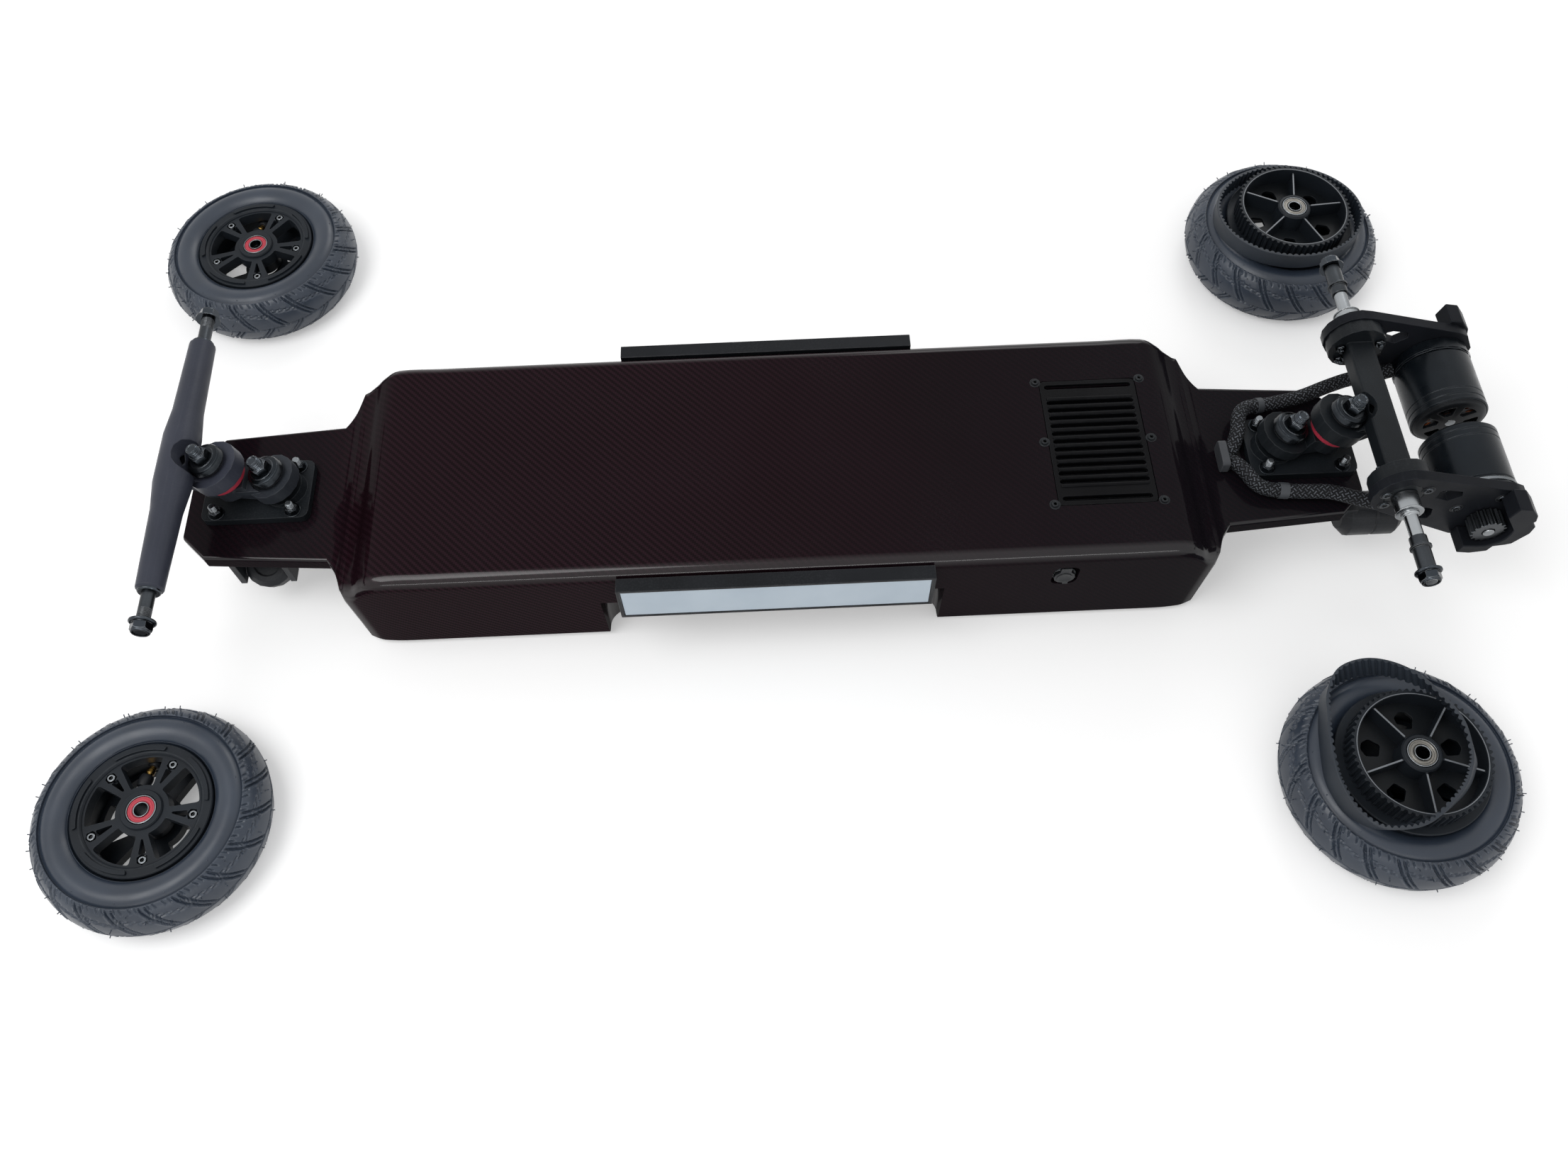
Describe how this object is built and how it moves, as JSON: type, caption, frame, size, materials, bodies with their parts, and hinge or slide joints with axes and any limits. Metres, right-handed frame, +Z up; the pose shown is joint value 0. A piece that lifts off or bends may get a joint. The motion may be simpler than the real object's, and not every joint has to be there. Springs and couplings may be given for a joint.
{
  "type": "electric mountainboard",
  "caption": "Electric mountainboard upside down with its pneumatic wheels taken off: carbon hull, double kingpin trucks, twin belt-drive motors, side light bars.",
  "frame": {"origin": "middle of the board's riding face, which lies on the floor", "axes": "+X along the board towards the motors, +Y away from the viewer, +Z up, with the board upside down"},
  "size_m": [1.1354, 0.7345, 0.1554],
  "materials": {
    "carbon_shell": "dark maroon and black twill carbon under a gloss clear coat",
    "grip_face": "coarse black grip",
    "black_plastic": "satin black moulded plastic",
    "soft_cap": "black rubber",
    "anodised_black": "satin black anodised aluminium",
    "dark_steel": "dark oxide steel",
    "bright_steel": "bright turned steel",
    "tyre_rubber": "matt dark blue-grey rubber",
    "belt_rubber": "black reinforced rubber",
    "black_urethane": "black urethane",
    "red_urethane": "red urethane",
    "milky_diffuser": "milky translucent plastic",
    "black_braid": "black braided sleeve",
    "blue_shrink": "blue shrink wrap",
    "motor_laminations": "grey laminated steel on an anodised base"
  },
  "bodies": {
    "deck": {"deck_shell": "carbon_shell", "deck_lid": "grip_face", "vent_cover": "anodised_black", "battery_pack": "blue_shrink", "motor_controller": "anodised_black", "charge_socket": "anodised_black", "cable_gland": "black_plastic", "nose_lamp": "black_plastic", "tail_lamp": "black_plastic", "light_frame_near": "anodised_black", "light_frame_far": "anodised_black", "light_diffuser_near": "milky_diffuser", "light_diffuser_far": "milky_diffuser", "motor_cable_near": "black_braid", "motor_cable_far": "black_braid", "front_baseplate": "anodised_black", "front_inner_kingpin": "dark_steel", "front_inner_bushings": "black_urethane", "rear_baseplate": "anodised_black", "rear_inner_kingpin": "dark_steel", "rear_inner_bushings": "black_urethane"},
    "charge_cap": {"charge_cap": "soft_cap"},
    "front_link": {"front_link": "anodised_black", "front_outer_kingpin": "dark_steel", "front_outer_bushings": "red_urethane"},
    "front_hanger": {"front_hanger": "anodised_black", "front_axle": "bright_steel", "front_axle_nut_near": "dark_steel", "front_axle_nut_far": "dark_steel"},
    "rear_link": {"rear_link": "anodised_black", "rear_outer_kingpin": "dark_steel", "rear_outer_bushings": "red_urethane"},
    "rear_hanger": {"rear_hanger": "anodised_black", "rear_axle": "bright_steel", "rear_axle_nut_near": "dark_steel", "rear_axle_nut_far": "dark_steel", "motor_plate_near": "anodised_black", "pinion_guard_near": "anodised_black", "motor_stator_near": "motor_laminations", "motor_plate_far": "anodised_black", "pinion_guard_far": "anodised_black", "motor_stator_far": "motor_laminations"},
    "rotor_near": {"motor_rotor_near": "anodised_black", "drive_pinion_near": "dark_steel"},
    "rotor_far": {"motor_rotor_far": "anodised_black", "drive_pinion_far": "dark_steel"},
    "front_near_wheel": {"front_near_tyre": "tyre_rubber", "front_near_hub": "black_plastic", "front_near_bearings": "bright_steel"},
    "front_far_wheel": {"front_far_tyre": "tyre_rubber", "front_far_hub": "black_plastic", "front_far_bearings": "bright_steel"},
    "rear_far_wheel": {"rear_far_tyre": "tyre_rubber", "rear_far_hub": "black_plastic", "rear_far_bearings": "bright_steel", "rear_far_belt": "belt_rubber"},
    "rear_near_wheel": {"rear_near_tyre": "tyre_rubber", "rear_near_hub": "black_plastic", "rear_near_bearings": "bright_steel", "rear_near_belt": "belt_rubber"}
  },
  "joints": [
    {"name": "charge_cap_hinge", "type": "hinge", "parent": "deck", "child": "charge_cap", "pos_m": [0.222, -0.1011, 0.0845], "axis": [-1, 0, 0], "range_deg": [0, 100]},
    {"name": "front_link_pivot", "type": "hinge", "parent": "deck", "child": "front_link", "pos_m": [-0.3938, 0, 0.1064], "axis": [-0.2756, 0, 0.9613], "range_deg": [-15, 15], "stiffness_Nm_per_rad": 40},
    {"name": "front_hanger_pivot", "type": "hinge", "parent": "front_link", "child": "front_hanger", "pos_m": [-0.42446, 0, 0.09761], "axis": [-0.2756, 0, 0.9613], "range_deg": [-15, 15], "stiffness_Nm_per_rad": 40},
    {"name": "rear_link_pivot", "type": "hinge", "parent": "deck", "child": "rear_link", "pos_m": [0.4063, 0, 0.1064], "axis": [0.2756, 0, 0.9613], "range_deg": [-15, 15], "stiffness_Nm_per_rad": 40, "deforming": ["motor_cable_near", "motor_cable_far"]},
    {"name": "rear_hanger_pivot", "type": "hinge", "parent": "rear_link", "child": "rear_hanger", "pos_m": [0.43696, 0, 0.09761], "axis": [0.2756, 0, 0.9613], "range_deg": [-15, 15], "stiffness_Nm_per_rad": 40, "deforming": ["motor_cable_near", "motor_cable_far"]},
    {"name": "rotor_near_spin", "type": "hinge", "parent": "rear_hanger", "child": "rotor_near", "pos_m": [0.5415, 0, 0.098], "axis": [0, 1, 0], "continuous": true},
    {"name": "rotor_far_spin", "type": "hinge", "parent": "rear_hanger", "child": "rotor_far", "pos_m": [0.5415, 0, 0.098], "axis": [0, 1, 0], "continuous": true},
    {"name": "front_near_wheel_spin", "type": "hinge", "parent": "deck", "child": "front_near_wheel", "pos_m": [-0.4733, -0.2481, 0.025], "axis": [0, 0, 1], "continuous": true},
    {"name": "front_far_wheel_spin", "type": "hinge", "parent": "deck", "child": "front_far_wheel", "pos_m": [-0.4736, 0.3031, 0.025], "axis": [0, 0, 1], "continuous": true},
    {"name": "rear_far_wheel_spin", "type": "hinge", "parent": "deck", "child": "rear_far_wheel", "pos_m": [0.4876, 0.2732, 0.025], "axis": [0, 0, 1], "continuous": true},
    {"name": "rear_near_wheel_spin", "type": "hinge", "parent": "deck", "child": "rear_near_wheel", "pos_m": [0.4578, -0.2571, 0.025], "axis": [0, 0, 1], "continuous": true}
  ]
}
